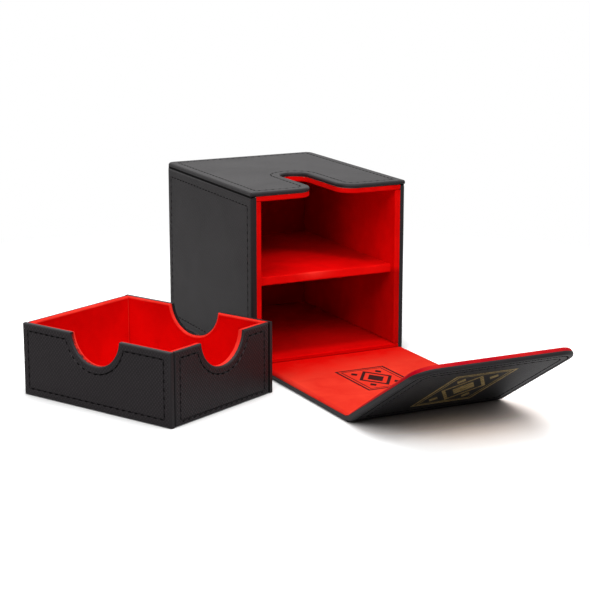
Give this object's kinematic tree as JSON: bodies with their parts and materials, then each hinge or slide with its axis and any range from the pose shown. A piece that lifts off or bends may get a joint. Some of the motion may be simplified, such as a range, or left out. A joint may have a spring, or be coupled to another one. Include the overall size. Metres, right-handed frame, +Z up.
{
  "type": "deck case",
  "caption": "Lined case for card decks with a shelf, a thumb slot in its top, a folding front flap and a loose card tray with finger cut-outs.",
  "frame": {"origin": "centre of the case's underside, on the table", "axes": "+Z up, the open front faces -Y, +X to the right seen from the front"},
  "size_m": [0.2164, 0.2902, 0.0976],
  "materials": {
    "leatherette": "satin",
    "microfibre": "matte",
    "greyboard": "matte",
    "magnet": "satin"
  },
  "bodies": {
    "case": {"left_wall_cover": "leatherette", "left_wall_board": "greyboard", "right_wall_cover": "leatherette", "right_wall_board": "greyboard", "back_wall_cover": "leatherette", "back_wall_board": "greyboard", "top_cover": "leatherette", "top_board": "greyboard", "bottom_cover": "leatherette", "bottom_board": "greyboard", "floor_lining": "microfibre", "floor_lining_board": "greyboard", "left_lining": "microfibre", "left_lining_board": "greyboard", "right_lining": "microfibre", "right_lining_board": "greyboard", "back_lining": "microfibre", "back_lining_board": "greyboard", "ceiling_lining": "microfibre", "ceiling_lining_board": "greyboard", "shelf_lining": "microfibre", "shelf_board": "greyboard", "case_magnet_left": "magnet", "case_magnet_right": "magnet", "base_strip": "leatherette", "base_strip_lining": "microfibre"},
    "front_flap": {"front_flap_cover": "leatherette", "front_flap_board": "greyboard", "front_flap_lining": "microfibre", "fold_strip": "leatherette", "fold_strip_lining": "microfibre"},
    "top_flap": {"top_flap_cover": "leatherette", "top_flap_board": "greyboard", "top_flap_lining": "microfibre", "flap_magnet_left": "magnet", "flap_magnet_right": "magnet"},
    "tray": {"tray_left_cover": "leatherette", "tray_left_board": "greyboard", "tray_left_lining": "microfibre", "tray_left_lining_board": "greyboard", "tray_right_cover": "leatherette", "tray_right_board": "greyboard", "tray_right_lining": "microfibre", "tray_right_lining_board": "greyboard", "tray_front_cover": "leatherette", "tray_front_board": "greyboard", "tray_front_lining": "microfibre", "tray_front_lining_board": "greyboard", "tray_rear_cover": "leatherette", "tray_rear_board": "greyboard", "tray_rear_lining": "microfibre", "tray_rear_lining_board": "greyboard", "tray_base_cover": "leatherette", "tray_base_board": "greyboard", "tray_floor_lining": "microfibre"}
  },
  "joints": [
    {"name": "base_hinge", "type": "hinge", "parent": "case", "child": "front_flap", "pos_m": [0, -0.0626, 0.0007], "axis": [-1, 0, 0], "range_deg": [0, 90]},
    {"name": "top_fold", "type": "hinge", "parent": "front_flap", "child": "top_flap", "pos_m": [0, -0.1634, 0.0007], "axis": [-1, 0, 0], "range_deg": [-31.5, 58.5]},
    {"name": "tray_lift", "type": "slide", "parent": "case", "child": "tray", "axis": [0, 0, 1], "range_m": [0, 0.11]}
  ]
}
